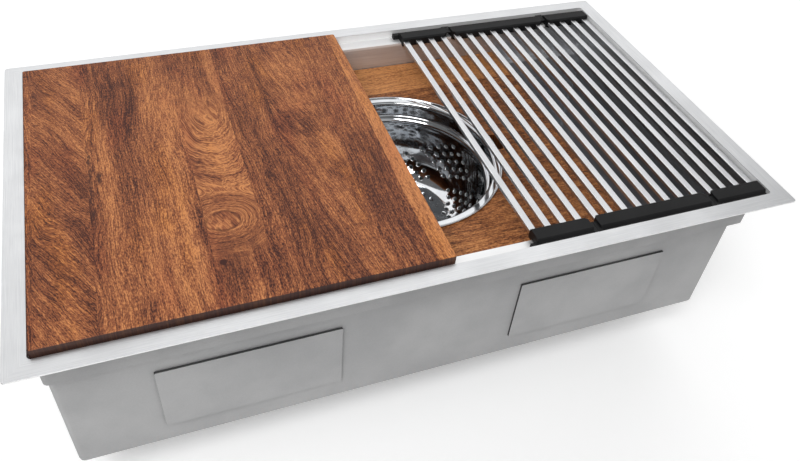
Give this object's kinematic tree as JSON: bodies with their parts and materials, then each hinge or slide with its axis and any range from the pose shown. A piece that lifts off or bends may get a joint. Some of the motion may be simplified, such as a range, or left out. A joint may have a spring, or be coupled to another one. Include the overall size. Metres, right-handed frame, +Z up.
{
  "type": "workstation kitchen sink",
  "caption": "Two-ledge stainless workstation sink with cutting board, colander in a wooden platform, folding drying rack and basket drain.",
  "frame": {"origin": "centre of the rim on its top face", "axes": "+X along the sink to the right as seen from the front, +Y to the rear, +Z up"},
  "size_m": [0.8382, 0.4826, 0.3121],
  "materials": {
    "sink_steel": "satin brushed stainless steel",
    "polished_steel": "polished stainless steel",
    "rod_steel": "satin stainless steel tube",
    "undercoat": "matte grey sound-deadening pad under sprayed coat",
    "board_wood": "oiled reddish hardwood, grain front to back",
    "platform_wood": "oiled orange-brown hardwood, grain side to side",
    "cap_silicone": "matte black silicone",
    "drain_rubber": "matte black rubber",
    "fibre": "grey fibre friction washer"
  },
  "bodies": {
    "sink": {"sink_bowl": "sink_steel", "sound_pad_front_left": "undercoat", "sound_pad_front_right": "undercoat", "sound_pad_rear_left": "undercoat", "sound_pad_rear_right": "undercoat", "sound_pad_end_left": "undercoat", "sound_pad_end_right": "undercoat", "sound_pad_floor_left": "undercoat", "sound_pad_floor_right": "undercoat", "drain_body": "polished_steel", "drain_gasket": "drain_rubber", "drain_washer": "fibre", "drain_lock_nut": "polished_steel"},
    "basket": {"basket_cup": "polished_steel", "basket_knob": "polished_steel", "basket_stopper": "drain_rubber"},
    "board": {"cutting_board": "board_wood"},
    "platform": {"colander_platform": "platform_wood"},
    "colander": {"colander": "polished_steel"},
    "rack_middle": {"rack_rod_05": "rod_steel", "rack_rod_06": "rod_steel", "rack_rod_07": "rod_steel", "rack_rod_08": "rod_steel", "rack_rod_09": "rod_steel", "rack_rod_10": "rod_steel", "rack_rod_11": "rod_steel", "rack_rod_12": "rod_steel", "rack_cap_front_middle": "cap_silicone", "rack_cap_rear_middle": "cap_silicone"},
    "rack_left": {"rack_rod_01": "rod_steel", "rack_rod_02": "rod_steel", "rack_rod_03": "rod_steel", "rack_rod_04": "rod_steel", "rack_cap_front_left": "cap_silicone", "rack_cap_rear_left": "cap_silicone"},
    "rack_right": {"rack_rod_13": "rod_steel", "rack_rod_14": "rod_steel", "rack_rod_15": "rod_steel", "rack_rod_16": "rod_steel", "rack_cap_front_right": "cap_silicone", "rack_cap_rear_right": "cap_silicone"}
  },
  "joints": [
    {"name": "board_slide", "type": "slide", "parent": "sink", "child": "board", "axis": [1, 0, 0], "range_m": [0, 0.038]},
    {"name": "platform_slide", "type": "slide", "parent": "sink", "child": "platform", "axis": [1, 0, 0], "range_m": [-0.192, 0.148]},
    {"name": "colander_lift", "type": "slide", "parent": "platform", "child": "colander", "axis": [0, 0, 1], "range_m": [0, 0.0305]},
    {"name": "rack_slide", "type": "slide", "parent": "sink", "child": "rack_middle", "axis": [1, 0, 0], "range_m": [-0.038, 0]},
    {"name": "rack_left_fold", "type": "hinge", "parent": "rack_middle", "child": "rack_left", "pos_m": [0.16915, 0, -0.00005], "axis": [0, 1, 0], "range_deg": [0, 180]},
    {"name": "rack_right_fold", "type": "hinge", "parent": "rack_middle", "child": "rack_right", "pos_m": [0.3241, 0, -0.00005], "axis": [0, -1, 0], "range_deg": [0, 180]},
    {"name": "basket_lift", "type": "slide", "parent": "sink", "child": "basket", "axis": [0, 0, 1], "range_m": [0, 0.07]}
  ]
}
